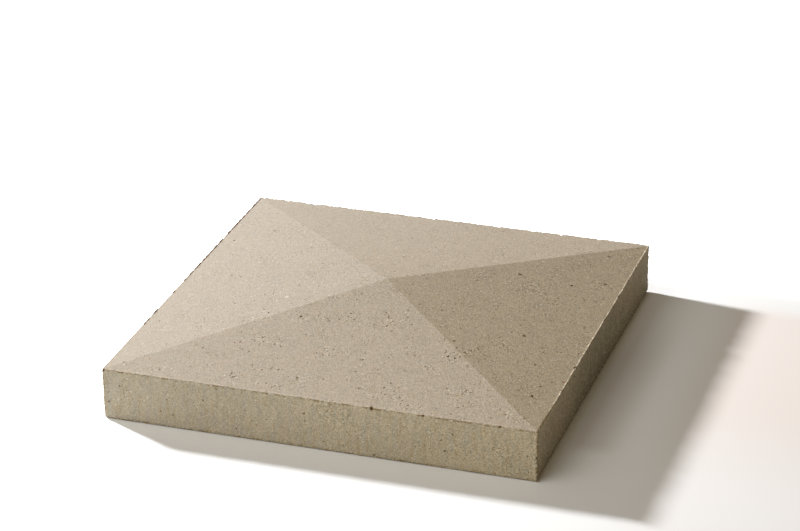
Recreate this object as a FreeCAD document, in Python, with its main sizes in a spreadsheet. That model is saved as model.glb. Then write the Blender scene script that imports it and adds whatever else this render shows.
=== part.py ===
"""Pier cap: a square concrete slab with upright sides and a four-way weathered top.

The cap is moulded in one piece. Four flat slopes rise from the upper arrises and meet in crisp
hips, which run from the corners to a point over the middle of the plan. The bed face is flat. Its
arris and the upright corners are slightly rounded, as the mould leaves them.

Frame: millimetres, +Z up, origin at the middle of the bed face.
"""

import FreeCAD
import Part
import Sketcher

import math
import os

# Driving dimensions in millimetres: alias, value, meaning
DIMENSIONS = [
    ("plan_side", 450.0, "side of the square plan"),
    ("edge_height", 55.0, "height of the upright sides"),
    ("apex_rise", 30.0, "rise of the apex above the upper arrises"),
    ("upright_radius", 1.5, "rounding of the upright corners"),
    ("bed_radius", 2.0, "rounding of the arris round the bed face"),
]

SIDES = 4  # sides of the plan, each with a weathered slope above it
QUARTER = 360 / SIDES  # degrees from one side to the next
BLANK_RISES = 1.5  # apex rises that the uncut blank stands above the upper arrises
CUT_RISES = 2.0  # apex rises from the upper arrises to the top of the cut, clear of the blank
CUT_HALVES = 1.25  # half plan sides from the middle to the outer end of the cut, clear of the blank
LEVEL = 1e-6  # an edge no higher than this lies in the bed plane
VOLUME_SHARE = 0.005  # share by which the solid's volume may differ from the worked-out one

START, END, CENTRE = 1, 2, 3  # point numbers of a sketch's lines and arcs
X_AXIS, Y_AXIS = -1, -2  # geometry numbers of a sketch's own axes
ORIGIN = (X_AXIS, START)


def dimension_sheet(doc):
    """Makes the spreadsheet, with an aliased cell for each driving dimension."""
    sheet = doc.addObject("Spreadsheet::Sheet", "dims")
    for row, (alias, value, meaning) in enumerate(DIMENSIONS, start=1):
        sheet.set(f"A{row}", meaning)
        sheet.set(f"B{row}", str(value))
        sheet.setAlias(f"B{row}", alias)
    doc.recompute()
    return sheet


def origin_feature(body, role):
    """Finds one of the body's own origin planes or axes by its role."""
    return next(item for item in body.Origin.OriginFeatures if item.Role == role)


def sketch_on(body, name, plane):
    """Starts a sketch of the body on one of its origin planes."""
    sketch = body.newObject("Sketcher::SketchObject", name)
    sketch.AttachmentSupport = (origin_feature(body, plane), [""])
    sketch.MapMode = "FlatFace"
    return sketch


def constrain(sketch, *facts):
    """Adds a geometric constraint and returns its number."""
    return sketch.addConstraint(Sketcher.Constraint(*facts))


def size(sketch, name, expression, *facts):
    """Adds a dimensional constraint whose value follows the sheet's cells."""
    sketch.renameConstraint(constrain(sketch, *facts), name)
    sketch.setExpression(f"Constraints.{name}", expression)


def plan_outline(body, sheet):
    """Draws the square plan with rounded corners, centred on the origin."""
    sketch = sketch_on(body, "plan_outline", "XY_Plane")
    up = FreeCAD.Vector(0, 0, 1)
    half = sheet.plan_side / 2
    radius = sheet.upright_radius
    straight = half - radius
    sides, corners = [], []
    for k in range(SIDES):
        turn = FreeCAD.Rotation(up, QUARTER * k)
        start = turn.multVec(FreeCAD.Vector(-straight, -half, 0))
        end = turn.multVec(FreeCAD.Vector(straight, -half, 0))
        centre = turn.multVec(FreeCAD.Vector(straight, -straight, 0))
        first, last = (math.radians(QUARTER * (k + step)) for step in (-1, 0))
        arc = Part.ArcOfCircle(Part.Circle(centre, up, radius), first, last)
        sides.append(sketch.addGeometry(Part.LineSegment(start, end)))
        corners.append(sketch.addGeometry(arc))
    for k in range(SIDES):
        constrain(sketch, "Tangent", sides[k], END, corners[k], START)
        constrain(sketch, "Tangent", corners[k], END, sides[(k + 1) % SIDES], START)
        constrain(sketch, "Vertical" if k % 2 else "Horizontal", sides[k])
    for corner in corners[1:]:
        constrain(sketch, "Equal", corners[0], corner)
    front, right, _, left = sides
    constrain(sketch, "Equal", front, right)
    constrain(sketch, "Symmetric", corners[0], CENTRE, corners[2], CENTRE, *ORIGIN)
    size(sketch, "upright_radius", "dims.upright_radius", "Radius", corners[0], radius)
    size(sketch, "plan_side", "dims.plan_side", "DistanceX", left, START, right, START, 2 * half)
    return sketch


def slope_outline(body, sheet):
    """Draws what is cut away above one slope: a right triangle whose long side lies along the slope.

    Two construction points set that line: the upper arris and the apex.
    """
    sketch = sketch_on(body, "slope_outline", "XZ_Plane")
    half, edge, rise = sheet.plan_side / 2, sheet.edge_height, sheet.apex_rise
    top = edge + CUT_RISES * rise
    outer = CUT_HALVES * half
    low = FreeCAD.Vector(outer, edge + rise - CUT_HALVES * rise, 0)
    high = FreeCAD.Vector(half - CUT_RISES * half, top, 0)
    corner = FreeCAD.Vector(outer, top, 0)
    slope = sketch.addGeometry(Part.LineSegment(low, high))
    level = sketch.addGeometry(Part.LineSegment(high, corner))
    plumb = sketch.addGeometry(Part.LineSegment(corner, low))
    arris = sketch.addGeometry(Part.Point(FreeCAD.Vector(half, edge, 0)), True)
    apex = sketch.addGeometry(Part.Point(FreeCAD.Vector(0, edge + rise, 0)), True)
    constrain(sketch, "Coincident", slope, END, level, START)
    constrain(sketch, "Coincident", level, END, plumb, START)
    constrain(sketch, "Coincident", plumb, END, slope, START)
    constrain(sketch, "Horizontal", level)
    constrain(sketch, "Vertical", plumb)
    constrain(sketch, "PointOnObject", apex, START, Y_AXIS)
    constrain(sketch, "PointOnObject", arris, START, slope)
    constrain(sketch, "PointOnObject", apex, START, slope)
    size(sketch, "half_plan", "dims.plan_side / 2", "DistanceX", *ORIGIN, arris, START, half)
    size(sketch, "edge_height", "dims.edge_height", "DistanceY", *ORIGIN, arris, START, edge)
    size(sketch, "apex_rise", "dims.apex_rise", "DistanceY", arris, START, apex, START, rise)
    size(sketch, "cut_reach", f"dims.plan_side / 2 * {CUT_HALVES}",
         "DistanceX", *ORIGIN, level, END, outer)
    size(sketch, "cut_rise", f"dims.apex_rise * {CUT_RISES}",
         "DistanceY", arris, START, level, END, CUT_RISES * rise)
    return sketch


def blank(body, sheet):
    """Pads the plan to a blank that is taller than the apex."""
    pad = body.newObject("PartDesign::Pad", "blank")
    pad.Profile = plan_outline(body, sheet)
    pad.setExpression("Length", f"dims.edge_height + dims.apex_rise * {BLANK_RISES}")
    body.Document.recompute()
    return pad


def weathered_top(body, sheet):
    """Cuts one slope right across the blank and repeats it for each side of the plan."""
    cut = body.newObject("PartDesign::Pocket", "slope_cut")
    cut.Profile = slope_outline(body, sheet)
    cut.Type = "ThroughAll"
    cut.Midplane = True
    slopes = body.newObject("PartDesign::PolarPattern", "weathered_top")
    slopes.Originals = [cut]
    slopes.Axis = (origin_feature(body, "Z_Axis"), [""])
    slopes.Angle = 360
    slopes.Occurrences = SIDES
    body.Tip = slopes
    body.Document.recompute()
    return slopes


def rounded_bed_arris(body, base):
    """Rounds every edge that lies in the bed plane."""
    edges = [f"Edge{n}" for n, edge in enumerate(base.Shape.Edges, start=1)
             if edge.BoundBox.ZMax < LEVEL]
    fillet = body.newObject("PartDesign::Fillet", "bed_arris")
    fillet.Base = (base, edges)
    fillet.setExpression("Radius", "dims.bed_radius")
    body.Document.recompute()
    return fillet


def pier_cap(doc, sheet):
    """Builds the cap as one body."""
    body = doc.addObject("PartDesign::Body", "pier_cap")
    body.Label = "pier_cap"
    body.Placement = FreeCAD.Placement()
    blank(body, sheet)
    slopes = weathered_top(body, sheet)
    rounded_bed_arris(body, slopes)
    return body


def worked_out_volume(sheet):
    """Volume of slab and pyramid, less what the rounded corners and the bed arris take off."""
    spandrel = 1 - math.pi / 4  # of a square of side r, what a quarter circle of radius r leaves
    plan = sheet.plan_side ** 2 - SIDES * spandrel * sheet.upright_radius ** 2
    arris = SIDES * sheet.plan_side * spandrel * sheet.bed_radius ** 2
    return plan * (sheet.edge_height + sheet.apex_rise / 3) - arris


def check(doc, sheet, body):
    """Stops before anything is written if a feature failed or the solid isn't the one meant."""
    for item in doc.Objects:
        if {"Invalid", "Error"} & set(item.State):
            raise RuntimeError(f"{item.Name} failed to build")
    shape = body.Shape
    if shape.isNull() or not shape.isValid() or len(shape.Solids) != 1:
        raise RuntimeError(f"{body.Label} isn't one valid solid")
    wanted = worked_out_volume(sheet)
    if abs(shape.Volume - wanted) > VOLUME_SHARE * wanted:
        raise RuntimeError(f"{body.Label} holds {shape.Volume:.0f} mm3, not about {wanted:.0f}")


def main():
    doc = FreeCAD.newDocument("pier_cap")
    sheet = dimension_sheet(doc)
    body = pier_cap(doc, sheet)
    doc.recompute()
    check(doc, sheet, body)
    os.makedirs("parts", exist_ok=True)
    body.Shape.exportStep(f"parts/{body.Label}.step")
    print(f"{body.Label}: {body.Shape.Volume / 1e6:.3f} litres, {len(body.Shape.Faces)} faces")


main()
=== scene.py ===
"""Looks of the pier cap: its cast concrete skin, with the light, the floor and the camera of the photo.

Lengths are in metres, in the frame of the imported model: +Z up, origin at the middle of the bed face.
"""

import math
import random

import bmesh
import bpy
from mathutils import Matrix, Vector, geometry, kdtree, noise


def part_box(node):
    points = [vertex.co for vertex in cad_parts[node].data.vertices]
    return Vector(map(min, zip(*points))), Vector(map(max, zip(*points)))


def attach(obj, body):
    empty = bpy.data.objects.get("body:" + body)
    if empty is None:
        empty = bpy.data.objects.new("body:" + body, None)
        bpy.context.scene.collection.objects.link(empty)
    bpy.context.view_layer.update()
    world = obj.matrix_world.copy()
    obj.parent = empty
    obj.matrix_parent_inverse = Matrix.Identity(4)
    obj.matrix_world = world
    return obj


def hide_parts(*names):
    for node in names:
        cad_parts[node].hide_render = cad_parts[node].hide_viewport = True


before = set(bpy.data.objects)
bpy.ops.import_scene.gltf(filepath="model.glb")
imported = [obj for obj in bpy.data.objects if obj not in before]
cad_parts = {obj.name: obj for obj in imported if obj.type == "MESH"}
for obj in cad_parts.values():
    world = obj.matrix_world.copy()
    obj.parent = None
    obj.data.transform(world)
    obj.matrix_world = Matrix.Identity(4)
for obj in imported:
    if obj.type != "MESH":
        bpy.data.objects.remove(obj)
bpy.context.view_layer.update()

MM = 0.001
TOUCH = 0.01 * MM  # points nearer than this lie on the same plane
TILT = 0.5  # a normal that rises by more than this looks up, and one that falls by more looks down
STEEP = 0.9  # an edge that rises by more than this share of its length is upright
SQUARE = 0.99  # an edge with more than this share of its length along x or y runs with a side

# The cap's own sizes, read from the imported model
LOW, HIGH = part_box("pier_cap")
HALF = (HIGH.x - LOW.x) / 2
PLAN = 2 * HALF
APEX = HIGH.z
EDGE = max(v.co.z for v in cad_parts["pier_cap"].data.vertices if HALF - v.co.x < TOUCH)
RISE = APEX - EDGE
OUTWARD = {
    "front": Vector((0, -1, 0)),
    "right": Vector((1, 0, 0)),
    "back": Vector((0, 1, 0)),
    "left": Vector((-1, 0, 0)),
}

# How finely the cast skin is divided
UPRIGHT_CUTS = 3
LEVEL_CUTS = 29
FINE_CUTS = 3
ARRIS_CUTS = 4
HOLE_CUTS = 4
STEP = PLAN / ((LEVEL_CUTS + 1) * (FINE_CUTS + 1))  # between points along a side
ROW = STEP / 2 / (ARRIS_CUTS + 1)  # between rows of points beside an arris
ROW_REACH = 0.4  # how far from its row a point may lie, in rows
ARRIS_BAND = 2.2 * MM  # width of the finer band along an upper arris
UPRIGHT_BAND = 2.0 * MM  # width of the finer band along an upright corner

# Rounding that the mould leaves
UPRIGHT_ROUND = 0.6 * MM
BED_ROUND = 1.6 * MM
SMOOTHED = math.radians(9)  # edges that turn by more than this, as the hips do, stay crisp

# The ragged lip of flash along the upper arrises
LIP_HEIGHT = 0.6 * MM
LIP_REACH = 0.45 * MM
BACK_SHARE = 0.4  # how much of the lip the back arris has
SWAY_HEIGHT = 0.8 * MM  # how far the arris wanders up and down
BACK_LIFT = 0.45 * MM  # how far the arris stands up at the back
FRONT_REACH = 0.5 * MM  # how far the front arris stands out
LEFT_CREST = 0.75 * MM  # what the highest stretches add to the lip
RIGHT_CREST = 0.45 * MM
CHIP_DEPTH = 0.9 * MM  # small chips along the front, right and back arrises
# Stretches of the left and right arrises where the lip stands highest: y of both ends, in millimetres
LEFT_CRESTS = [(-118, -104), (-96, -82), (-40, -34), (-8, 106), (120, 224)]
RIGHT_CRESTS = [(-170, 28), (36, 63), (70, 88), (96, 128), (136, 171), (178, 224)]

# Wear of the other edges
UNDERCUT = 0.5 * MM
UNDERCUT_FROM, UNDERCUT_TO = 0.4 * MM, 1.3 * MM  # below the arris
UPRIGHT_EDGE = 1.2 * MM  # how far an upright corner's wear reaches from it
UPRIGHT_WEAR = 0.7 * MM
NEAR_WEAR = 1.0 * MM  # at the upright corner nearest to the camera
FOOT_WEAR = 0.6 * MM
# Worn corners of the bed: signs of x and y, reach, and how often they are smoothed
WORN_CORNERS = [(-1, -1, 9 * MM, 24), (1, 1, 5 * MM, 5)]

# Clouds that roughen the edges: size of their lumps, and the levels at which they start and end
TOOTH_LENGTH = 2.4 * MM
DASH_LENGTH = 5.5 * MM
CLOUDS = {
    "teeth": (TOOTH_LENGTH, 0.36, 0.64),
    "sway": (7 * MM, 0.38, 0.62),
    "crests": (TOOTH_LENGTH, 0.15, 0.45),
    "dashes": (DASH_LENGTH, 0.32, 0.56),
    "chips": (3.2 * MM, 0.58, 0.68),
}
# How the edges are roughened, in order: points, cloud, direction, reach, and the cloud's level that stays put
EDGE_WEAR = [
    ("lip", "teeth", "Z", LIP_HEIGHT, 0.0),
    ("lip", "sway", "Z", SWAY_HEIGHT, 0.5),
    ("back_lip", "crests", "Z", BACK_LIFT, 0.0),
    ("front_lip", "teeth", "Z", LIP_HEIGHT, 0.5),
    ("front_lip", "sway", "Z", SWAY_HEIGHT, 0.5),
    ("front_lip", "sway", "Y", -FRONT_REACH, 0.0),
    ("left_crest", "crests", "Z", 0.5 * LEFT_CREST, 0.0),
    ("left_crest", "dashes", "Z", LEFT_CREST, 0.0),
    ("right_crest", "crests", "Z", RIGHT_CREST, 0.0),
    ("right_crest", "crests", "X", LIP_REACH, 0.0),
    ("lip", "teeth", "NORMAL", LIP_REACH, 0.0),
    ("lip", "chips", "Z", -CHIP_DEPTH, 0.0),
    ("lip", "chips", "NORMAL", -0.5 * CHIP_DEPTH, 0.0),
    ("front_lip", "chips", "Z", -CHIP_DEPTH, 0.0),
    ("undercut", "teeth", "NORMAL", -UNDERCUT, 0.0),
    ("upright", "teeth", "NORMAL", -UPRIGHT_WEAR, 0.75),
    ("front_right", "teeth", "NORMAL", -NEAR_WEAR, 0.6),
    ("foot", "teeth", "NORMAL", -FOOT_WEAR, 0.0),
]

# The air holes that show most: x and y in the plan and radius, all in millimetres
MAIN_HOLES = [
    (-88, -134, 1.6), (-63, -88, 1.9), (-72, -143, 1.3), (-30, -193, 1.5), (-91, -206, 1.3),
    (139, -175, 1.4), (104, -123, 1.6), (112, -124, 1.3), (80, -202, 1.3), (40, -52, 1.2),
    (161, -45, 2.4), (202, -161, 2.6), (120, 84, 2.3), (206, 110, 1.9), (175, 88, 1.8),
    (193, 176, 1.8), (187, -98, 1.7), (-99, -87, 1.6), (-210, 102, 1.5), (18, 53, 1.3),
    (102, -93, 1.9), (122, -104, 1.7), (204, -138, 1.5),
]
# Swarms of small holes: x and y of the middle, spread and number, in millimetres
HOLE_SWARMS = [
    (-56, -88, 9, 5), (-17, -81, 7, 5), (-90, -136, 7, 5), (-17, -143, 8, 6), (-28, -194, 7, 4),
    (-94, -209, 8, 4), (70, -202, 8, 6), (31, -76, 7, 4), (21, -53, 7, 4), (107, -122, 8, 5),
    (140, -177, 7, 5), (-19, -36, 7, 3), (-104, -84, 8, 5), (140, 66, 11, 10), (202, 105, 8, 5),
    (145, -78, 10, 4), (200, -161, 7, 4), (122, -104, 9, 6),
]
SWARM_REACH = 1.2  # how far a swarm's finer pits reach, in spreads
STRAY_HOLES = 28  # small holes scattered over the slopes
SIDE_HOLES = 16  # small holes scattered over the four sides
SWARM_RADII = (0.6, 1.3)  # smallest and largest, in millimetres
STRAY_RADII = (0.6, 1.2)
HOLE_MARGIN = 6 * MM  # what the small holes keep from the edges
SEED = 7
HOLE_CLASSES = [(0, 0.8), (0.8, 1.3), (1.3, 9)]  # radii in millimetres, from and to, sunk to one depth
HOLE_STEPS = (0.10 * MM, 0.14 * MM)  # how far a hole narrows at each of the steps that sink it
LEAST_DEPTH = 0.6 * MM
FINE_FACE = 1.5  # a face up to this many cells large belongs to the finely divided skin round a hole

# Nicks in the upper arrises: distance from the middle along the side and reach, in millimetres, by side
ARRIS_NICKS = {
    "front": [(58, 2.5), (111, 1.5), (188, 1.6), (-224, 1.8)],
    "right": [(174, 1.0), (131, 1.1), (91, 1.2), (66, 1.0), (31, 1.1),
              (-83, 1.8), (-135, 1.2), (-185, 1.4), (-204, 1.2)],
    "back": [(169, 1.6), (160, 1.4), (-126, 1.6), (20, 1.5)],
}
NICK_STRETCH = {"front": 1.0, "right": 2.5, "back": 1.5}  # how long the nicks are against their depth
NICK_INWARD, NICK_DOWN = 0.5, 0.7  # how far a nick goes in and down, in reaches
NICK_FLOOR = 0.7  # how far its floor, darkened by dust and painted shade, reaches
# Ragged rims: mean share of the reach, how far it varies and over what length
HOLE_RIM = (0.85, 0.5, 1.1 * MM)
NICK_RIM = (0.8, 0.4, 1.5 * MM)

# Concrete colours, as reflected shares of red, green and blue
WHITE = (1, 1, 1)
BLACK = (0, 0, 0)
SLOPE_TINT = (0.509, 0.448, 0.364)
SIDE_TINT = (0.552, 0.495, 0.394)
SLOPE_GREY = (0.487, 0.440, 0.370)
SIDE_GREY = (0.514, 0.480, 0.404)
SLOPE_STAIN = (0.450, 0.375, 0.260)
SIDE_STAIN = (0.470, 0.378, 0.235)
WARM = (1.040, 1.000, 0.875)  # what warmth makes of the tints
BED_TINT = (0.430, 0.385, 0.310)
# dust and painted shade in the floors of the air holes and nicks, in the pores and in the pits
HOLLOW_DUST_AND_SHADE = (0.255, 0.170, 0.082)
PIT_DUST_AND_SHADE = (0.225, 0.145, 0.063)
# painted shade under the upper arrises and above the foot, also the colour of the specks along the upright
# corners
ARRIS_SHADE_TINT = (0.320, 0.232, 0.112)
# painted shade in the dark rim along the left arris and the nicks near the corner
RIM_SHADE = (0.200, 0.080, 0.028)
# painted highlight along the right and front arrises
CREST_HIGHLIGHT = (0.880, 0.795, 0.640)
# Level and warmth of each slope at the apex and at the two ends of its arris, as one faces it from the left;
# partly the concrete's own tone and partly painted light and shade over each slope
SLOPE_TONES_AND_SHADING = {
    "front": ((0.955, 0.33), (1.030, 0.00), (1.095, 0.36)),
    "right": ((0.94, 0.70), (0.985, 0.95), (0.865, 1.00)),
    "back": ((1.00, 0.40), (1.015, 0.47), (0.975, 0.05)),
    "left": ((0.97, 0.15), (0.915, 0.00), (1.00, 0.00)),
}
# The same of the bed's middle and of the two ends of each side, also partly painted light and shade
SIDE_TONES_AND_SHADING = {
    "front": ((1.00, 0.30), (0.962, 0.00), (1.085, 0.60)),
    "right": ((1.00, 0.60), (0.930, 0.85), (0.905, 0.68)),
    "back": ((1.00, 0.30), (0.98, 0.60), (0.94, 0.00)),
    "left": ((1.00, 0.00), (0.94, 0.00), (0.98, 0.00)),
}
PAINTED_MIDDLE_SHADE = 0.195  # painted shade: how much darker the right and left sides are about their middles
DIP_FROM, DIP_FULL = 0.65, 0.1  # half sides from the middle
PAINTED_HEAD_LIGHT = 0.09  # painted light: how much paler the right side is at its head
PAINTED_FOOT_SHADE = 0.21  # painted shade: how much darker it is at its foot
HEAD_FROM, FOOT_FROM = 0.55, 0.5  # shares of the edge's height where the two start
SIDE_SKIN = 1.5 * MM  # what lies within this of the right side's plane belongs to it

# Sand, drifts, pores, pits and flecks of the finish
FINE_GRAIN = 0.9 * MM
COARSE_GRAIN = 1.8 * MM
LUMP_SIZE = 3 * MM
DRIFT_SIZE = 60 * MM
PATCH_SIZE = 12 * MM
GREY_SIZE = 8 * MM
STAIN_SIZE = 5 * MM
GREY_LEVELS = (-0.2, 0.6)  # tones of a drift where the grey starts and where it is full
STAIN_LEVELS = (0.1, 0.8)
PORE_SIZE = 1.7 * MM
PORE_BRIM = 0.07  # how far the noise rises from a pore's floor to its brim
PORE_GAIN = 0.09  # how much further it may rise in a swarm
SWARM_SCALE = 0.07  # scale of the pores' own swarms against that of the pores
SWARM_LEVELS = (0.48, 0.66)
PORE_SWARM = 0.4  # what the pores' own swarms count beside the listed ones
PIT_SPACING, PIT_RADIUS = 4 * MM, 1.0 * MM
FLECK_SPACING, FLECK_RADIUS = 3.5 * MM, 0.9 * MM
SPOT_STRAY, SPOT_LUMPS = 0.5 * MM, 0.9 * MM  # how far the rim of a pit or fleck strays, and over what length
SPOT_LEAST = 0.4  # radius of the smallest spots, in radii
SPOT_CORE = 0.5  # share of its radius within which a spot is full
# What pits, flecks and sand gain in a swarm, and what they have elsewhere
PITS_IN_SWARM = (2.2, 0.28)
FLECKS_IN_SWARM = (2.4, 0.5)
SAND_IN_SWARM = (0.7, 0.8)
# Pits and flecks also gain towards the near right corner, and towards the right
NEARWARD = (-0.35, 0.30)  # from the left far corner at -1 to the right near one at 1
FAR_PITS, FAR_FLECKS = 0.25, 0.5
RIGHTWARD = (0.2, 0.7)  # half sides to the right of the middle
RIGHT_GAIN = 2.2
SANDIER = 0.26  # how much more the sand shows towards the right
# How much of the colour below flecks, pores and pits hide
FLECK_COVER = 0.8
PORE_COVER = 0.55
PIT_COVER = 0.85
PIT_BRIM = 0.4  # share of a pit's mask where its colour starts
# Heights of the relief, against that of the fine sand
COARSE_HEIGHT = 0.8
LUMP_HEIGHT = 0.15
PORE_HEIGHT = -5.0
PIT_HEIGHT = -4.0
ROUGHNESS, ROUGHNESS_SWING = 0.92, 0.04
SHEEN = 0.15
# Colours of the flecks: share of the flecks that lie below, and colour
FLECK_COLOURS = [
    (0.00, (0.30, 0.15, 0.08)),
    (0.10, (0.40, 0.28, 0.13)),
    (0.30, (0.17, 0.15, 0.12)),
    (0.40, (0.33, 0.34, 0.36)),
    (0.42, (0.78, 0.72, 0.62)),
]
# Single flecks that show on the slopes: x, y and radius in millimetres, and colour
LONE_FLECKS = [
    (222, -118, 2.6, (0.34, 0.19, 0.11)), (176, 1, 2.0, (0.34, 0.20, 0.12)),
    (120, -211, 2.4, (0.37, 0.33, 0.31)), (-94, -47, 2.6, (0.74, 0.66, 0.57)),
    (-57, -92, 2.0, (0.70, 0.62, 0.50)), (102, -145, 1.8, (0.70, 0.56, 0.44)),
]
LONE_CORE, LONE_COVER = 0.4, 0.85

# Dark dashes of painted shade under the upper arrises and above the foot, and dark specks along the upright
# corners
LONG_DASH, SHORT_DASH = 11 * MM, 2.5 * MM
SHORT_SHARE = 1.6  # what the short dashes count beside the long ones
DASH_LEVELS = (1.22, 1.52)
DASH_FADE = 0.5 * MM
DASH_TOP = (-0.3 * MM, 0.1 * MM)  # below the arris, where a dash starts and where it is full
UNDER_ARRIS = 2.4 * MM
ABOVE_FOOT = 3.0 * MM
AT_UPRIGHT = (HALF - 1.8 * MM, HALF - 0.9 * MM)
UPRIGHT_LEVELS = (0.46, 0.54)
ARRIS_COVER = 0.8

# Dark rims of painted shade and pale crests of painted highlight on the upper arrises: x or y where each band
# starts and where it is full
LEFT_RIM = (1.6 * MM - HALF, 1.0 * MM - HALF)
LEFT_REAR = (-0.1 * HALF, 0.1 * HALF)
LEFT_NEAR_SHARE = 0.5  # what the left rim has towards the camera
RIM_LEVELS = (0.40, 0.54)
RIM_LEAST = 0.15
CORNER_RIM = (HALF - 1.5 * MM, HALF - 0.8 * MM)
CORNER_END = (-0.80 * HALF, -0.86 * HALF)
CORNER_LEVELS = (0.38, 0.50)
CORNER_LEAST = 0.4
RIM_COVER = 0.95
RIGHT_PALE = (HALF - 1.5 * MM, HALF - 0.9 * MM)
RIGHT_END = (-0.80 * HALF, -0.72 * HALF)
FRONT_PALE = (3.1 * MM - HALF, 2.5 * MM - HALF)
RIGHT_SHARE, FRONT_SHARE = 0.75, 0.45
CREST_LEVELS = (0.49, 0.58)
CREST_COVER = 0.75

# Finishes: tones with their painted light and shade, tints, how the patches are drawn out and narrowed, and
# how far each effect goes
FINISHES = {
    "slope": {
        "tones_and_shading": SLOPE_TONES_AND_SHADING, "tint": SLOPE_TINT, "patch_tint": SLOPE_GREY, "stain_tint": SLOPE_STAIN,
        "streak": 1.0, "narrow": 1.0, "fine": 0.26, "coarse": 0.025, "drift": 0.012, "patch": 0.02,
        "grey": 0.55, "stain": 0.35, "pores": 0.20, "pits": 0.085, "flecks": 0.095, "relief": 0.20 * MM,
    },
    "side": {
        "tones_and_shading": SIDE_TONES_AND_SHADING, "tint": SIDE_TINT, "patch_tint": SIDE_GREY, "stain_tint": SIDE_STAIN,
        "streak": 0.2, "narrow": 1.7, "fine": 0.28, "coarse": 0.06, "drift": 0.03, "patch": 0.06,
        "grey": 0.85, "stain": 0.5, "pores": 0.18, "pits": 0.03, "flecks": 0.15, "relief": 0.24 * MM,
    },
    "bed": {
        "tones_and_shading": SIDE_TONES_AND_SHADING, "tint": BED_TINT, "patch_tint": SIDE_GREY, "stain_tint": SIDE_STAIN,
        "streak": 1.0, "narrow": 1.0, "fine": 0.12, "coarse": 0.09, "drift": 0.04, "patch": 0.05,
        "grey": 0.5, "stain": 0.3, "pores": 0.17, "pits": 0.05, "flecks": 0.05, "relief": 0.24 * MM,
    },
    "hollow_dust_and_shade": {
        "tones_and_shading": SLOPE_TONES_AND_SHADING, "tint": HOLLOW_DUST_AND_SHADE, "patch_tint": HOLLOW_DUST_AND_SHADE, "stain_tint": PIT_DUST_AND_SHADE,
        "streak": 1.0, "narrow": 1.0, "fine": 0.15, "coarse": 0.10, "drift": 0.05, "patch": 0.10,
        "grey": 0.5, "stain": 0.6, "pores": 0.17, "pits": 0.0, "flecks": 0.05, "relief": 0.24 * MM,
    },
}

# The photo's camera: its place in plan sides, its line of sight, its roll, and its lens in millimetres
EYE = Vector((1.926, -5.731, 3.004)) * PLAN
SIGHT = Vector((-0.2851, 0.8625, -0.4180))
ROLL = math.radians(-0.5)
LENS = 130.14
SENSOR_WIDTH = 36
SIGHT_END = 100

# Lamps: what each lights, direction from the cap, distance, width, and strength in red, green and blue
AIM = Vector((0, 0, 0.05))
LAMPS = {
    "key": ("all", (-1.571, 0.444, 0.808), 1.81, 0.19, (1.07, 1.10, 1.18)),
    "left_front": ("cap", (-0.62, -0.62, 0.48), 2.2, 1.2, (0.455, 0.455, 0.445)),
    "left": ("cap", (-0.88, 0, 0.48), 2.2, 1.2, (0.05, 0.045, 0.065)),
    "front": ("cap", (0, -0.88, 0.48), 2.2, 1.2, (0.044, 0.034, 0.010)),
    "back": ("cap", (0, 0.88, 0.48), 2.2, 1.2, (0.245, 0.232, 0.235)),
    "floor_key": ("floor", (-1.571, 0.444, 0.808), 1.81, 0.19, (1.37, 1.33, 1.25)),
    "floor_fill": ("floor", (-0.30, -0.52, 0.79), 2.2, 2.0, (0.423, 0.410, 0.392)),
}
WORLD_GLOW = (0.155, 0.120, 0.070)

# The studio floor
FLOOR_SIZE = 14
FLOOR_DROP = 0.1 * MM  # the floor lies this far under the bed face, so that the two don't mix
FLOOR_SEEN = (0.905, 0.930, 0.960)
FLOOR_ROSY_SHADE = (0.855, 0.814, 0.806)  # painted shade to the right of the cap, past its shadow
FLOOR_SHADED = (0.770, 0.765, 0.765)  # painted shade in the depth of the shadow beside the cap
FLOOR_BOUNCE = (0.53, 0.53, 0.53)
FOOT_GLOW = (0.042, 0.036, 0.036)  # painted light on the floor at the far end of the cap's foot
# Where the floor's tints lie, in half sides of the cap: from and full, or from, full, past and end
ROSY_X = (1.32, 1.60)
ROSY_BACK = (1.05, 0.87)
ROSY_FRONT = (-1.0, 0.0)
ROSY_LEAST = 0.3
SHADED_X = (1.03, 1.09, 1.16, 1.30)
SHADED_Y = (-0.72, -0.58, 0.20, 0.85)
FOOT_X = (1.00, 1.03, 1.03, 1.10)
FOOT_Y = (0.0, 0.95)
BEHIND_Y = (1.05, 1.5)


# Selecting and shaping

def outermost(point):
    """Distance of a point from the middle, square to the nearest side."""
    return max(abs(point.x), abs(point.y))


def innermost(point):
    """The lesser of a point's distances from the middle along x and y, which is large only at a corner."""
    return min(abs(point.x), abs(point.y))


def ragged(point, mean, swing, length):
    """Share of its reach that a ragged rim has at a place."""
    return mean + swing * noise.noise(point / length)


def pick(kind, test):
    """Selects, in edit mode, the points, edges or faces that pass a test."""
    bpy.ops.mesh.select_mode(type={"verts": "VERT", "edges": "EDGE", "faces": "FACE"}[kind])
    bpy.ops.mesh.select_all(action="DESELECT")
    mesh = bmesh.from_edit_mesh(bpy.context.object.data)
    for item in getattr(mesh, kind):
        if test(item):
            item.select_set(True)
    mesh.select_flush_mode()
    bmesh.update_edit_mesh(bpy.context.object.data)


def mark(cap, name, weight, test):
    """Puts the points that pass a test into a vertex group."""
    pick("verts", test)
    group = cap.vertex_groups.get(name) or cap.vertex_groups.new(name=name)
    cap.vertex_groups.active_index = group.index
    bpy.context.scene.tool_settings.vertex_group_weight = weight
    bpy.ops.object.vertex_group_assign()


def give_finish(cap, finish):
    """Gives the selected faces a finish."""
    if finish.name not in cap.data.materials:
        cap.data.materials.append(finish)
    cap.active_material_index = cap.data.materials.find(finish.name)
    bpy.ops.object.material_slot_assign()


def coat(cap, finish, test):
    """Gives the faces that pass a test a finish."""
    pick("faces", test)
    give_finish(cap, finish)


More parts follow.
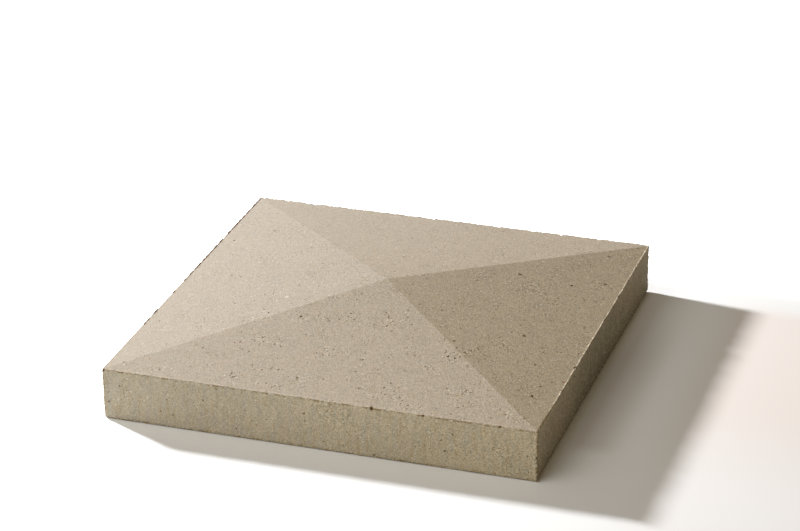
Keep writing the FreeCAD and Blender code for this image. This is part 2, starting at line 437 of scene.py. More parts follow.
def cloud(name, size, low, high):
    """Makes a cloud texture that is 0 under one level and 1 over another."""
    texture = bpy.data.textures.new(name, "CLOUDS")
    texture.noise_scale = size
    texture.noise_depth = 2
    texture.use_color_ramp = True
    first, last = texture.color_ramp.elements
    first.position, first.color = low, (*BLACK, 1)
    last.position, last.color = high, (*WHITE, 1)
    return texture


def roughen(cap, group, texture, direction, reach, middle):
    """Moves the points of a vertex group by how far a texture lies from its middle, for good."""
    rough = cap.modifiers.new(f"{group}_{direction}", "DISPLACE")
    rough.texture = texture
    rough.texture_coords = "LOCAL"
    rough.vertex_group = group
    rough.direction = direction
    rough.mid_level = middle
    rough.strength = reach
    bpy.ops.object.modifier_apply(modifier=rough.name)


# The cast cap

def on_slope(x, y):
    """Point of the weathered top over a place in the plan."""
    return Vector((x, y, APEX - RISE * max(abs(x), abs(y)) / HALF))


def blank(finishes):
    """Adds the block, draws its top up to the apex and gives slopes, sides and bed their finishes."""
    bpy.ops.object.select_all(action="DESELECT")
    bpy.ops.mesh.primitive_cube_add(size=1, location=(0, 0, EDGE / 2), scale=(PLAN, PLAN, EDGE))
    cap = bpy.context.object
    cap.name = "pier_cap_concrete"
    bpy.ops.object.transform_apply(location=True, rotation=False, scale=True)
    bpy.ops.object.mode_set(mode="EDIT")
    pick("faces", lambda face: face.normal.z > TILT)
    bpy.ops.mesh.poke(offset=RISE)
    coat(cap, finishes["slope"], lambda face: face.normal.z > TILT)
    coat(cap, finishes["side"], lambda face: abs(face.normal.z) < TILT)
    coat(cap, finishes["bed"], lambda face: face.normal.z < -TILT)
    return cap


def divide():
    """Divides sides and slopes evenly, and leaves the bed whole."""
    pick("edges", lambda edge: abs(edge.verts[0].co.z - edge.verts[1].co.z) > EDGE - TOUCH)
    bpy.ops.mesh.subdivide(number_cuts=UPRIGHT_CUTS)
    pick("edges", lambda edge: abs((edge.verts[0].co - edge.verts[1].co).normalized().z) < STEEP)
    bpy.ops.mesh.subdivide(number_cuts=LEVEL_CUTS)
    pick("faces", lambda face: face.normal.z > -TILT)
    bpy.ops.mesh.subdivide(number_cuts=FINE_CUTS, ngon=False)


def round_off():
    """Rounds the upright corners and the arris round the bed."""
    pick("edges", lambda edge: all(innermost(v.co) > HALF - TOUCH for v in edge.verts))
    bpy.ops.mesh.bevel(offset=UPRIGHT_ROUND, segments=2, profile=0.5, affect="EDGES")

    def at_bed(edge):
        flat = all(v.co.z < TOUCH for v in edge.verts)
        return flat and any(face.normal.z > -TILT for face in edge.link_faces)

    pick("edges", at_bed)
    bpy.ops.mesh.bevel(offset=BED_ROUND, segments=2, profile=0.5, affect="EDGES")


def refine_arrises():
    """Divides the bands along the upper arrises and uprights finely, and the rounding along the bed."""
    def in_band(face):
        centre = face.calc_center_median()
        under_arris = centre.z > EDGE - ARRIS_BAND and outermost(centre) > HALF - ARRIS_BAND
        at_upright = BED_ROUND < centre.z < EDGE and innermost(centre) > HALF - UPRIGHT_BAND
        return under_arris or at_upright

    pick("faces", in_band)
    bpy.ops.mesh.subdivide(number_cuts=ARRIS_CUTS, ngon=False)

    def along_bed(edge):
        low = all(v.co.z < BED_ROUND + TOUCH for v in edge.verts)
        return low and outermost((edge.verts[0].co - edge.verts[1].co).normalized()) > SQUARE

    pick("edges", along_bed)
    bpy.ops.mesh.subdivide(number_cuts=FINE_CUTS, ngon=False)


def hole_places():
    """Places and radii of all air holes, over the slopes and the sides."""
    chance = random.Random(SEED)
    reach = HALF - HOLE_MARGIN
    holes = [(on_slope(x * MM, y * MM), radius * MM) for x, y, radius in MAIN_HOLES]

    def inside(value):
        return max(-reach, min(reach, value * MM))

    for x, y, spread, number in HOLE_SWARMS:
        for _ in range(number):
            place = on_slope(inside(chance.gauss(x, spread)), inside(chance.gauss(y, spread)))
            holes.append((place, chance.uniform(*SWARM_RADII) * MM))
    all_listed = len(holes)
    while len(holes) < all_listed + STRAY_HOLES:
        place = on_slope(chance.uniform(-reach, reach), chance.uniform(-reach, reach))
        if chance.random() < 0.5 + (place.x - place.y) / PLAN:
            holes.append((place, chance.uniform(*STRAY_RADII) * MM))
    for _ in range(SIDE_HOLES):
        outward = chance.choice(list(OUTWARD.values()))
        along = Vector((-outward.y, outward.x, 0))
        height = chance.uniform(HOLE_MARGIN, EDGE - HOLE_MARGIN)
        place = outward * HALF + along * chance.uniform(-reach, reach) + Vector((0, 0, height))
        holes.append((place, chance.uniform(*STRAY_RADII) * MM))
    return holes


def sink_holes(cap, hollow_dust_and_shade):
    """Sinks the air holes into the skin as small ragged pits, whose floor is darkened by dust and painted
    shade.
    """
    holes = hole_places()
    places = kdtree.KDTree(len(holes))
    for number, (place, _) in enumerate(holes):
        places.insert(place, number)
    places.balance()

    def beside_hole(face):
        if face.normal.z < -TILT:
            return False
        first, *others = [v.co for v in face.verts]
        for place, number, _ in places.find_range(face.calc_center_median(), STEP):
            for second, third in zip(others, others[1:]):
                touch = geometry.closest_point_on_tri(place, first, second, third)
                if (touch - place).length < holes[number][1]:
                    return True
        return False

    pick("faces", beside_hole)
    bpy.ops.mesh.subdivide(number_cuts=HOLE_CUTS, ngon=False)
    cell = (STEP / (HOLE_CUTS + 1)) ** 2
    for small, large in HOLE_CLASSES:
        def in_hole(face):
            centre = face.calc_center_median()
            _, number, distance = places.find(centre)
            radius = holes[number][1]
            near = distance < radius * ragged(centre, *HOLE_RIM)
            return small * MM <= radius < large * MM and near and face.calc_area() < FINE_FACE * cell

        pick("faces", in_hole)
        depth = max(small * MM, LEAST_DEPTH) / len(HOLE_STEPS)
        for narrowing in HOLE_STEPS:
            bpy.ops.mesh.inset(thickness=narrowing, depth=-depth)
        give_finish(cap, hollow_dust_and_shade)


def mark_swarms(cap):
    """Gives each point its share of the swarms of holes, for the finish to read."""
    shares = cap.data.attributes.new("swarm", "FLOAT", "POINT")
    for vert, share in zip(cap.data.vertices, shares.data):
        for x, y, spread, _ in HOLE_SWARMS:
            away = (vert.co.xy - Vector((x, y)) * MM).length / (SWARM_REACH * spread * MM)
            share.value = max(share.value, math.exp(-away ** 2))


def nick_arrises(cap, hollow_dust_and_shade):
    """Breaks the larger nicks out of the upper arrises, with a floor darkened by dust and painted shade."""
    for side, nicks in ARRIS_NICKS.items():
        outward = OUTWARD[side]
        along = Vector((-outward.y, outward.x, 0))
        shorten = 1 - 1 / NICK_STRETCH[side]
        for distance, reach in nicks:
            middle = outward * HALF + along * distance * MM + Vector((0, 0, EDGE))
            shift = (-NICK_INWARD * outward - Vector((0, 0, NICK_DOWN))) * reach * MM

            def from_middle(point):
                offset = point - middle
                return (offset - along * offset.dot(along) * shorten).length

            pick("verts", lambda vert: from_middle(vert.co) < reach * MM * ragged(vert.co, *NICK_RIM))
            bpy.ops.transform.translate(value=shift)
            floor_reach = NICK_FLOOR * reach * MM
            coat(cap, hollow_dust_and_shade, lambda face: from_middle(face.calc_center_median() - shift) < floor_reach)


def mark_edges(cap):
    """Marks the points that the lip raises, those of the undercut below it, and the other worn edges."""
    def in_row(vert, row):
        inset = HALF - outermost(vert.co)
        return vert.co.z > EDGE - TOUCH and abs(inset - row * ROW) < ROW_REACH * ROW

    def raise_lip(group, rows, here, share=1.0):
        for row in range(rows):
            mark(cap, group, share * (1 - row / rows), lambda vert: in_row(vert, row) and here(vert.co))

    def along(point, stretches):
        return abs(point.x) > abs(point.y) - TOUCH and any(a < point.y / MM < b for a, b in stretches)

    raise_lip("lip", 3, lambda point: point.x > abs(point.y))
    raise_lip("lip", 3, lambda point: point.y > abs(point.x), BACK_SHARE)
    raise_lip("front_lip", 2, lambda point: point.y < -abs(point.x))
    raise_lip("back_lip", 3, lambda point: point.y > abs(point.x))
    raise_lip("left_crest", 4, lambda point: point.x < 0 and along(point, LEFT_CRESTS))
    raise_lip("right_crest", 3, lambda point: point.x > 0 and along(point, RIGHT_CRESTS))

    def under_arris(vert):
        below = EDGE - vert.co.z
        return UNDERCUT_FROM < below < UNDERCUT_TO and outermost(vert.co) > HALF - TOUCH

    def at_upright(vert):
        return BED_ROUND < vert.co.z < EDGE - TOUCH and innermost(vert.co) > HALF - UPRIGHT_EDGE

    mark(cap, "undercut", 1.0, under_arris)
    mark(cap, "upright", 1.0, at_upright)
    mark(cap, "front_right", 1.0, lambda vert: at_upright(vert) and vert.co.x > 0 and vert.co.y < 0)
    mark(cap, "foot", 1.0, lambda vert: TOUCH < vert.co.z < BED_ROUND + TOUCH)


def roughen_edges(cap):
    """Raises the lip along the upper arrises in ragged stretches, and wears the other edges."""
    clouds = {name: cloud(name, *facts) for name, facts in CLOUDS.items()}
    for group, name, direction, reach, middle in EDGE_WEAR:
        roughen(cap, group, clouds[name], direction, reach, middle)


def wear_corners():
    """Wears two corners of the bed, as the photo shows them."""
    for x, y, reach, times in WORN_CORNERS:
        corner = Vector((x, y, 0)) * HALF
        pick("verts", lambda vert: (vert.co - corner).length < reach and vert.co.z > TOUCH)
        bpy.ops.mesh.vertices_smooth(factor=0.5, repeat=times)


def pier_cap(finishes):
    """Models the cast cap in place of the CAD solid."""
    cap = blank(finishes)
    divide()
    round_off()
    refine_arrises()
    mark_edges(cap)
    sink_holes(cap, finishes["hollow_dust_and_shade"])
    bpy.ops.object.mode_set(mode="OBJECT")
    roughen_edges(cap)
    bpy.ops.object.mode_set(mode="EDIT")
    nick_arrises(cap, finishes["hollow_dust_and_shade"])
    wear_corners()
    bpy.ops.object.mode_set(mode="OBJECT")
    mark_swarms(cap)
    bpy.ops.object.shade_smooth_by_angle(angle=SMOOTHED)
    cap.vertex_groups.clear()
    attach(cap, "root")
    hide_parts("pier_cap")
    return cap


# Shader nodes

def feed(tree, socket, source):
    """Joins a socket to another one, or sets its value."""
    if isinstance(source, bpy.types.NodeSocket):
        tree.links.new(source, socket)
    else:
        socket.default_value = source


def add(tree, kind, inputs=None, **settings):
    """Adds a shader node with its settings, and feeds its inputs by name or number."""
    made = tree.nodes.new(kind)
    for name, value in settings.items():
        setattr(made, name, value)
    for name, source in (inputs or {}).items():
        feed(tree, made.inputs[name], source)
    return made


def calc(tree, operation, *values):
    """Adds a sum on values and gives its result."""
    return add(tree, "ShaderNodeMath", dict(enumerate(values)), operation=operation).outputs[0]


def product(tree, first, *others):
    """Multiplies values."""
    for other in others:
        first = calc(tree, "MULTIPLY", first, other)
    return first


def span(tree, value, low, high, low_to=0.0, high_to=1.0):
    """Maps a stretch of values onto another smoothly, and holds its ends."""
    inputs = {"Value": value, "From Min": low, "From Max": high, "To Min": low_to, "To Max": high_to}
    return add(tree, "ShaderNodeMapRange", inputs, interpolation_type="SMOOTHSTEP").outputs["Result"]


def across(tree, value, low, high, low_to=0.0, high_to=1.0):
    """Does the same for a stretch that is given in half sides of the cap."""
    return span(tree, value, low * HALF, high * HALF, low_to, high_to)


def between(tree, value, start, full, past, end):
    """Gives 1 over a stretch in half sides of the cap, and fades to 0 at its start and end."""
    return product(tree, across(tree, value, start, full), across(tree, value, end, past))


def mottle(tree, vector, size, detail):
    """Gives a noise with lumps of a size."""
    inputs = {"Vector": vector, "Scale": 1 / size, "Detail": detail}
    return add(tree, "ShaderNodeTexNoise", inputs).outputs["Fac"]


def tinted(tree, share, first, second):
    """Blends from a first colour to a second by a share."""
    made = add(tree, "ShaderNodeMix", {0: share}, data_type="RGBA")
    for socket, colour in ((made.inputs[6], first), (made.inputs[7], second)):
        feed(tree, socket, (*colour, 1) if isinstance(colour, tuple) else colour)
    return made.outputs[2]


def new_group(name, inputs, outputs):
    """Starts a shader node group: a Vector and named values in, named values out."""
    tree = bpy.data.node_groups.new(name, "ShaderNodeTree")
    tree.interface.new_socket("Vector", in_out="INPUT", socket_type="NodeSocketVector")
    for label in inputs:
        tree.interface.new_socket(label, in_out="INPUT", socket_type="NodeSocketFloat")
    for label in outputs:
        tree.interface.new_socket(label, in_out="OUTPUT", socket_type="NodeSocketFloat")
    return tree, tree.nodes.new("NodeGroupInput").outputs, tree.nodes.new("NodeGroupOutput").inputs


def placed(tree, group, vector, **values):
    """Places a node group in a material with its own values."""
    inputs = {name.replace("_", " "): value for name, value in values.items()}
    made = add(tree, "ShaderNodeGroup", node_tree=group)
    feed(tree, made.inputs["Vector"], vector)
    for name, value in inputs.items():
        feed(tree, made.inputs[name], value)
    return made.outputs


# Effects of the finishes, as node groups

def sand_grain():
    """Sand at the surface: each grain has its own tone about 0, and stands proud by an amount of its own."""
    tree, given, gives = new_group("sand_grain", ["Grain Size"], ["Tone", "Height"])
    per_metre = calc(tree, "DIVIDE", 1.0, given["Grain Size"])
    grains = add(tree, "ShaderNodeTexVoronoi", {"Vector": given["Vector"], "Scale": per_metre})
    parts = add(tree, "ShaderNodeSeparateColor", {"Color": grains.outputs["Color"]})
    feed(tree, gives["Tone"], calc(tree, "MULTIPLY_ADD", parts.outputs["Red"], 2.0, -1.0))
    dome = calc(tree, "SUBTRACT", 1.0, grains.outputs["Distance"])
    feed(tree, gives["Height"], product(tree, dome, parts.outputs["Green"]))
    return tree


def cement_drift():
    """Slow change of tone about 0, where the paste is richer or leaner."""
    tree, given, gives = new_group("cement_drift", ["Patch Size"], ["Tone"])
    per_metre = calc(tree, "DIVIDE", 1.0, given["Patch Size"])
    drift = add(tree, "ShaderNodeTexNoise", {"Vector": given["Vector"], "Scale": per_metre, "Detail": 1.6})
    feed(tree, gives["Tone"], calc(tree, "MULTIPLY_ADD", drift.outputs["Fac"], 4.0, -2.0))
    return tree


def scattered_spots():
    """Ragged spots in a share of the cells of a flat pattern, each with a size and a number of its own."""
    tree, given, gives = new_group("scattered_spots", ["Spacing", "Share", "Radius"], ["Mask", "Number"])
    per_metre = calc(tree, "DIVIDE", 1.0, given["Spacing"])
    wobble = add(tree, "ShaderNodeTexNoise", {"Vector": given["Vector"], "Scale": 1 / SPOT_LUMPS})
    strayed = {0: wobble.outputs["Color"], 1: (SPOT_STRAY, SPOT_STRAY, SPOT_STRAY), 2: given["Vector"]}
    uneven = add(tree, "ShaderNodeVectorMath", strayed, operation="MULTIPLY_ADD").outputs[0]
    cells = add(tree, "ShaderNodeTexVoronoi", {"Vector": uneven, "Scale": per_metre}, voronoi_dimensions="2D")
    parts = add(tree, "ShaderNodeSeparateColor", {"Color": cells.outputs["Color"]})
    here = calc(tree, "LESS_THAN", parts.outputs["Red"], given["Share"])
    radius = calc(tree, "DIVIDE", given["Radius"], given["Spacing"])
    varied = product(tree, radius, calc(tree, "ADD", parts.outputs["Green"], SPOT_LEAST))
    spot = span(tree, cells.outputs["Distance"], varied, product(tree, varied, SPOT_CORE))
    feed(tree, gives["Mask"], product(tree, here, spot))
    feed(tree, gives["Number"], parts.outputs["Blue"])
    return tree


def air_pores():
    """Ragged pores of the paste, rare between the swarms that they gather in."""
    tree, given, gives = new_group("air_pores", ["Pore Size", "Level"], ["Mask", "Swarm"])
    per_metre = calc(tree, "DIVIDE", 1.0, given["Pore Size"])
    pores = add(tree, "ShaderNodeTexNoise", {"Vector": given["Vector"], "Scale": per_metre, "Detail": 1.5})
    sparse = product(tree, per_metre, SWARM_SCALE)
    swarms = add(tree, "ShaderNodeTexNoise", {"Vector": given["Vector"], "Scale": sparse, "Detail": 3.0})
    swarm = span(tree, swarms.outputs["Fac"], *SWARM_LEVELS)
    feed(tree, gives["Swarm"], swarm)
    deepest = calc(tree, "MULTIPLY_ADD", swarm, PORE_GAIN, given["Level"])
    brim = calc(tree, "ADD", deepest, PORE_BRIM)
    feed(tree, gives["Mask"], span(tree, pores.outputs["Fac"], brim, deepest))
    return tree


def arris_shade():
    """Ragged dark dashes of painted shade in the thin band right under an arris."""
    tree, given, gives = new_group("arris_shade", ["Arris Height", "Depth"], ["Mask"])
    height = add(tree, "ShaderNodeSeparateXYZ", {"Vector": given["Vector"]}).outputs["Z"]
    below = calc(tree, "SUBTRACT", given["Arris Height"], height)
    long = mottle(tree, given["Vector"], LONG_DASH, 3.0)
    short = mottle(tree, given["Vector"], SHORT_DASH, 1.0)
    dashes = calc(tree, "MULTIPLY_ADD", short, SHORT_SHARE, long)
    depth = product(tree, span(tree, dashes, *DASH_LEVELS), given["Depth"])
    band = span(tree, below, depth, calc(tree, "SUBTRACT", depth, DASH_FADE))
    feed(tree, gives["Mask"], product(tree, band, span(tree, below, *DASH_TOP)))
    return tree


# The concrete

def toned_and_shaded(tree, spot, tones_and_shading):
    """Level and warmth at a place, partly painted light and shade: even over each slope or side, from its
    apex to the ends of its arris.
    """
    level, warmth = 0.0, 0.0
    for side, (apex, first, last) in tones_and_shading.items():
        outward = OUTWARD[side]
        out = calc(tree, "MULTIPLY_ADD", spot["X"], outward.x, product(tree, spot["Y"], outward.y))
        along = calc(tree, "MULTIPLY_ADD", spot["X"], -outward.y, product(tree, spot["Y"], outward.x))
        beyond = calc(tree, "SUBTRACT", out, calc(tree, "ABSOLUTE", along))
        here = calc(tree, "GREATER_THAN", beyond, 0.0)
        sums = []
        for top, left, right in zip(apex, first, last):
            outer = calc(tree, "MULTIPLY_ADD", out, ((left + right) / 2 - top) / HALF, top)
            sums.append(calc(tree, "MULTIPLY_ADD", along, (right - left) / 2 / HALF, outer))
        level = calc(tree, "MULTIPLY_ADD", here, sums[0], level)
        warmth = calc(tree, "MULTIPLY_ADD", here, sums[1], warmth)
    return level, warmth


def sand_level(tree, spot, swarm, fine, coarse, values):
    """What the sand adds to the level: more of it towards the right and in the swarms."""
    grain = calc(tree, "MULTIPLY_ADD", coarse["Tone"], values["coarse"],
                 product(tree, fine["Tone"], values["fine"]))
    righter = calc(tree, "MULTIPLY_ADD", spot["X"], SANDIER / HALF, 1.0)
    return product(tree, grain, righter, calc(tree, "MULTIPLY_ADD", swarm, *SAND_IN_SWARM))


def painted_side_shading(tree, spot):
    """Painted light and shade that the place on a side adds to the level: a darker dip about the middle, and
    a fall from a paler head to a darker foot.
    """
    middle = across(tree, calc(tree, "ABSOLUTE", spot["Y"]), DIP_FROM, DIP_FULL, 0.0, PAINTED_MIDDLE_SHADE)
    head = span(tree, spot["Z"], HEAD_FROM * EDGE, EDGE, 0.0, PAINTED_HEAD_LIGHT)
    foot = span(tree, spot["Z"], FOOT_FROM * EDGE, 0.0, 0.0, PAINTED_FOOT_SHADE)
    on_right = calc(tree, "GREATER_THAN", spot["X"], HALF - SIDE_SKIN)
    upward = product(tree, calc(tree, "SUBTRACT", head, foot), on_right)
    return calc(tree, "SUBTRACT", upward, middle)


def paste(tree, drifts, here, level, warmth, values):
    """Colour of the paste at its level and warmth, with drifts of tone, greyer patches and stains."""
    narrowed = add(tree, "ShaderNodeVectorMath", {0: here, "Scale": values["narrow"]}, operation="SCALE")
    streaks = {"Vector": narrowed.outputs[0], "Scale": (1, 1, values["streak"])}
    streaked = add(tree, "ShaderNodeMapping", streaks).outputs[0]
    drift = placed(tree, drifts, here, Patch_Size=DRIFT_SIZE)["Tone"]
    patch = placed(tree, drifts, streaked, Patch_Size=PATCH_SIZE)["Tone"]
    grey = placed(tree, drifts, streaked, Patch_Size=GREY_SIZE)["Tone"]
    stain = placed(tree, drifts, streaked, Patch_Size=STAIN_SIZE)["Tone"]
    level = calc(tree, "MULTIPLY_ADD", drift, values["drift"], level)
    level = calc(tree, "MULTIPLY_ADD", patch, values["patch"], level)
    greyer = product(tree, span(tree, grey, *GREY_LEVELS), values["grey"])
    stained = product(tree, span(tree, stain, *STAIN_LEVELS), values["stain"])
    colour = tinted(tree, greyer, values["tint"], values["patch_tint"])
    colour = tinted(tree, stained, colour, values["stain_tint"])
    colour = add(tree, "ShaderNodeVectorMath", {0: colour, "Scale": level}, operation="SCALE").outputs[0]
    warmer = tinted(tree, warmth, WHITE, WARM)
    return add(tree, "ShaderNodeVectorMath", {0: colour, 1: warmer}, operation="MULTIPLY").outputs[0]


def pits_and_flecks(tree, spots, vector, spot, swarm, values):
    """Scatters small pits and flecks: more of them in the swarms, near the camera and on the right."""
    nearer = calc(tree, "DIVIDE", calc(tree, "SUBTRACT", spot["X"], spot["Y"]), PLAN)
    righter = across(tree, spot["X"], *RIGHTWARD, 1.0, RIGHT_GAIN)
    pit_share = product(tree, calc(tree, "MULTIPLY_ADD", swarm, *PITS_IN_SWARM),
                        span(tree, nearer, *NEARWARD, FAR_PITS, 1.0), righter, values["pits"])
    fleck_share = product(tree, calc(tree, "MULTIPLY_ADD", swarm, *FLECKS_IN_SWARM),
                          span(tree, nearer, *NEARWARD, FAR_FLECKS, 1.0), righter, values["flecks"])
    pits = placed(tree, spots, vector, Spacing=PIT_SPACING, Share=pit_share, Radius=PIT_RADIUS)
    flecks = placed(tree, spots, vector, Spacing=FLECK_SPACING, Share=fleck_share, Radius=FLECK_RADIUS)
    return pits, flecks


def speckled(tree, colour, flecks, pores, pits):
    """Lays flecks, and pores and pits darkened by dust and painted shade, over a colour."""
    ramp = add(tree, "ShaderNodeValToRGB", {"Fac": flecks["Number"]})
    ramp.color_ramp.interpolation = "CONSTANT"
    stops = ramp.color_ramp.elements
    stops[0].position, tint = FLECK_COLOURS[0]
    stops[0].color = (*tint, 1)
    stops.remove(stops[1])
    for position, tint in FLECK_COLOURS[1:]:
        stops.new(position).color = (*tint, 1)
    colour = tinted(tree, product(tree, flecks["Mask"], FLECK_COVER), colour, ramp.outputs["Color"])
    colour = tinted(tree, product(tree, pores["Mask"], PORE_COVER), colour, HOLLOW_DUST_AND_SHADE)
    return tinted(tree, span(tree, pits["Mask"], PIT_BRIM, 1.0, 0.0, PIT_COVER), colour, PIT_DUST_AND_SHADE)


def shaded_edges(tree, shade, here, spot, colour):
    """Darkens the sides with painted shade in dashes under the arris and above the foot, and with dark specks
    along the upright corners.
    """
    head = placed(tree, shade, here, Arris_Height=EDGE, Depth=UNDER_ARRIS)["Mask"]
    turned = add(tree, "ShaderNodeMapping", {"Vector": here, "Scale": (1, 1, -1)}).outputs[0]
    foot = placed(tree, shade, turned, Arris_Height=0.0, Depth=ABOVE_FOOT)["Mask"]
    across_x, across_y = (calc(tree, "ABSOLUTE", spot[axis]) for axis in "XY")
    nearest = calc(tree, "MINIMUM", across_x, across_y)
    specks = mottle(tree, here, TOOTH_LENGTH, 1.0)
    corner = product(tree, span(tree, nearest, *AT_UPRIGHT), span(tree, specks, *UPRIGHT_LEVELS))
    edges = calc(tree, "MAXIMUM", calc(tree, "MAXIMUM", head, foot), corner)
    return tinted(tree, product(tree, edges, ARRIS_COVER), colour, ARRIS_SHADE_TINT)


def rim_shade_and_crest_highlights(tree, here, spot, colour):
    """Lays the dark rims of painted shade along the left arris and at the near corner over a colour, then the
    pale crests of painted highlight.
    """
    dots = mottle(tree, here, TOOTH_LENGTH, 1.0)
    dashes = mottle(tree, here, DASH_LENGTH, 2.0)
    left = product(tree, span(tree, spot["X"], *LEFT_RIM),
                   span(tree, spot["Y"], *LEFT_REAR, LEFT_NEAR_SHARE, 1.0),
                   span(tree, dashes, *RIM_LEVELS, RIM_LEAST, 1.0), RIM_COVER)
    corner = product(tree, span(tree, spot["X"], *CORNER_RIM), span(tree, spot["Y"], *CORNER_END),
                     span(tree, dots, *CORNER_LEVELS, CORNER_LEAST, 1.0), RIM_COVER)
    on_right = product(tree, span(tree, spot["X"], *RIGHT_PALE),
                       span(tree, spot["Y"], *RIGHT_END, 0.0, RIGHT_SHARE))
    on_front = span(tree, spot["Y"], *FRONT_PALE, 0.0, FRONT_SHARE)
    crest = product(tree, calc(tree, "MAXIMUM", on_right, on_front),
                    span(tree, dots, *CREST_LEVELS), CREST_COVER)
    for share, tint in ((left, RIM_SHADE), (corner, PIT_DUST_AND_SHADE), (crest, CREST_HIGHLIGHT)):
        colour = tinted(tree, share, colour, tint)
    return colour


def lone_flecks(tree, here, colour):
    """Lays the single flecks over a colour."""
    for x, y, radius, tint in LONE_FLECKS:
        apart = {0: here, 1: on_slope(x * MM, y * MM)}
        away = add(tree, "ShaderNodeVectorMath", apart, operation="DISTANCE").outputs["Value"]
        share = span(tree, away, radius * MM, LONE_CORE * radius * MM, 0.0, LONE_COVER)
        colour = tinted(tree, share, colour, tint)
    return colour


def concrete(name, groups, values):
    """Cast concrete: sandy paste with drifts of tone, stains, air pores, pits and coloured sand flecks, with
    painted light and shade in its tones, hollows and edges.
    """
    material = bpy.data.materials.new(f"concrete_{name}")
    material.use_nodes = True
    tree = material.node_tree
    surface = tree.nodes["Principled BSDF"]
    here = add(tree, "ShaderNodeTexCoord").outputs["Object"]
    spot = add(tree, "ShaderNodeSeparateXYZ", {"Vector": here}).outputs
    fine = placed(tree, groups["sand"], here, Grain_Size=FINE_GRAIN)
    coarse = placed(tree, groups["sand"], here, Grain_Size=COARSE_GRAIN)
    lumps = placed(tree, groups["drift"], here, Patch_Size=LUMP_SIZE)
    pores = placed(tree, groups["pores"], here, Pore_Size=PORE_SIZE, Level=values["pores"])
    listed = add(tree, "ShaderNodeAttribute", attribute_name="swarm").outputs["Fac"]
    swarm = calc(tree, "MAXIMUM", listed, product(tree, pores["Swarm"], PORE_SWARM))
    level, warmth = toned_and_shaded(tree, spot, values["tones_and_shading"])
    level = calc(tree, "ADD", level, sand_level(tree, spot, swarm, fine, coarse, values))
    flat = here
    if name == "side":
        level = calc(tree, "ADD", level, painted_side_shading(tree, spot))
        round_sides = calc(tree, "ADD", spot["X"], spot["Y"])
        flat = add(tree, "ShaderNodeCombineXYZ", {"X": round_sides, "Y": spot["Z"]}).outputs[0]
    pits, flecks = pits_and_flecks(tree, groups["spots"], flat, spot, swarm, values)

    colour = paste(tree, groups["drift"], here, level, warmth, values)
    colour = speckled(tree, colour, flecks, pores, pits)
    if name == "side":
        colour = shaded_edges(tree, groups["arris"], here, spot, colour)
    if name == "slope":
        colour = rim_shade_and_crest_highlights(tree, here, spot, colour)
        colour = lone_flecks(tree, here, colour)
    feed(tree, surface.inputs["Base Color"], colour)
    roughness = calc(tree, "MULTIPLY_ADD", fine["Tone"], ROUGHNESS_SWING, ROUGHNESS)
    feed(tree, surface.inputs["Roughness"], roughness)
    surface.inputs["Specular IOR Level"].default_value = SHEEN

    height = calc(tree, "MULTIPLY_ADD", coarse["Height"], COARSE_HEIGHT, fine["Height"])
    height = calc(tree, "MULTIPLY_ADD", lumps["Tone"], LUMP_HEIGHT, height)
    height = calc(tree, "MULTIPLY_ADD", pores["Mask"], PORE_HEIGHT, height)
    height = calc(tree, "MULTIPLY_ADD", pits["Mask"], PIT_HEIGHT, height)
    bump = add(tree, "ShaderNodeBump", {"Height": height, "Strength": 1.0, "Distance": values["relief"]})
    feed(tree, surface.inputs["Normal"], bump.outputs["Normal"])
    return material


def concrete_finishes():
    """Finishes of the cap: smooth slopes, mottled sides, a plain bed and the floors of the air holes,
    darkened by dust and painted shade.
    """
    groups = {"sand": sand_grain(), "drift": cement_drift(), "spots": scattered_spots(),
              "pores": air_pores(), "arris": arris_shade()}
    return {name: concrete(name, groups, values) for name, values in FINISHES.items()}


# Floor, light and camera

def background_ray(tree):
    """Gives 1 for the rays that show the background: straight, mirrored or through glass."""
    path = add(tree, "ShaderNodeLightPath").outputs
    seen = calc(tree, "MAXIMUM", path["Is Camera Ray"], path["Is Glossy Ray"])
    return calc(tree, "MAXIMUM", seen, path["Is Transmission Ray"])


def studio_white():
    """White floor: rosy with painted shade past the cap's shadow, greyer with painted shade in its depth,
    with painted light at the far end of the cap's foot, and pure white behind the cap.
    """
    material = bpy.data.materials.new("studio_white")
    material.use_nodes = True
    tree = material.node_tree
    surface = tree.nodes["Principled BSDF"]
    here = add(tree, "ShaderNodeTexCoord").outputs["Object"]
    spot = add(tree, "ShaderNodeSeparateXYZ", {"Vector": here}).outputs
    rosy = product(tree, across(tree, spot["X"], *ROSY_X), across(tree, spot["Y"], *ROSY_BACK),
                   across(tree, spot["Y"], *ROSY_FRONT, ROSY_LEAST, 1.0))
    shaded = product(tree, between(tree, spot["X"], *SHADED_X), between(tree, spot["Y"], *SHADED_Y))
    seen = tinted(tree, rosy, FLOOR_SEEN, FLOOR_ROSY_SHADE)
    seen = tinted(tree, shaded, seen, FLOOR_SHADED)
    showing = background_ray(tree)
    feed(tree, surface.inputs["Base Color"], tinted(tree, showing, FLOOR_BOUNCE, seen))
    far_foot = product(tree, between(tree, spot["X"], *FOOT_X), across(tree, spot["Y"], *FOOT_Y), showing)
    behind = product(tree, across(tree, spot["Y"], *BEHIND_Y), showing)
    glow = tinted(tree, far_foot, BLACK, FOOT_GLOW)
    feed(tree, surface.inputs["Emission Color"], tinted(tree, behind, glow, WHITE))
    surface.inputs["Emission Strength"].default_value = 1.0
    surface.inputs["Roughness"].default_value = 1.0
    surface.inputs["Specular IOR Level"].default_value = 0.0
    return material


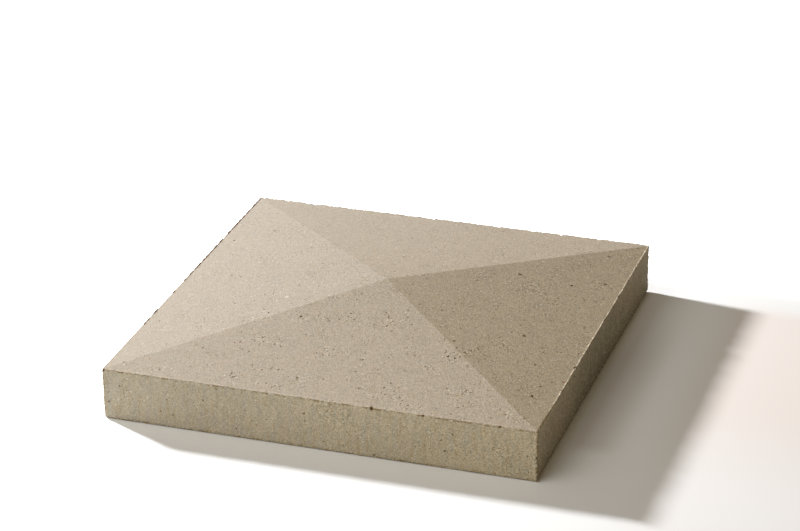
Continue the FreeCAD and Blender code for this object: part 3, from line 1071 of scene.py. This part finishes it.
def floor():
    """Lays the white studio floor."""
    bpy.ops.object.select_all(action="DESELECT")
    bpy.ops.mesh.primitive_plane_add(size=FLOOR_SIZE, location=(0, 0, -FLOOR_DROP))
    sheet = bpy.context.object
    sheet.name = "studio_floor"
    bpy.ops.object.transform_apply(location=True, rotation=False, scale=False)
    sheet.data.materials.append(studio_white())
    return sheet


def lamp(name, direction, distance, width, strength):
    """Hangs a round soft lamp that shines at the cap."""
    brightest = max(strength)
    data = bpy.data.lights.new(name, "AREA")
    data.shape = "DISK"
    data.size = width
    data.energy = brightest * math.pi ** 2 * distance ** 2
    data.color = [part / brightest for part in strength]
    hung = bpy.data.objects.new(name, data)
    bpy.context.scene.collection.objects.link(hung)
    away = Vector(direction).normalized()
    hung.location = AIM + away * distance
    hung.rotation_euler = (-away).to_track_quat("-Z", "Y").to_euler()
    return hung


def studio_light(cap, sheet):
    """Hangs the lamps: some light the cap alone, some the floor alone."""
    for name, (lights, *facts) in LAMPS.items():
        hung = lamp(name, *facts)
        if lights != "all":
            lit = bpy.data.collections.new(f"lit_by_{name}")
            lit.objects.link(cap if lights == "cap" else sheet)
            hung.light_linking.receiver_collection = lit
    world = bpy.data.worlds.new("studio")
    bpy.context.scene.world = world
    world.use_nodes = True
    tree = world.node_tree
    colour = tinted(tree, background_ray(tree), WORLD_GLOW, WHITE)
    feed(tree, tree.nodes["Background"].inputs["Color"], colour)


def photo_camera():
    """Sets the camera where the photo was taken from."""
    data = bpy.data.cameras.new("camera")
    data.sensor_width = SENSOR_WIDTH
    data.lens = LENS
    data.clip_end = SIGHT_END
    camera = bpy.data.objects.new("camera", data)
    bpy.context.scene.collection.objects.link(camera)
    turn = SIGHT.to_track_quat("-Z", "Y").to_matrix().to_4x4()
    camera.matrix_world = Matrix.Translation(EYE) @ turn @ Matrix.Rotation(ROLL, 4, "Z")
    bpy.context.scene.camera = camera


def main():
    cap = pier_cap(concrete_finishes())
    studio_light(cap, floor())
    photo_camera()
    bpy.context.scene.view_settings.view_transform = "Standard"


main()
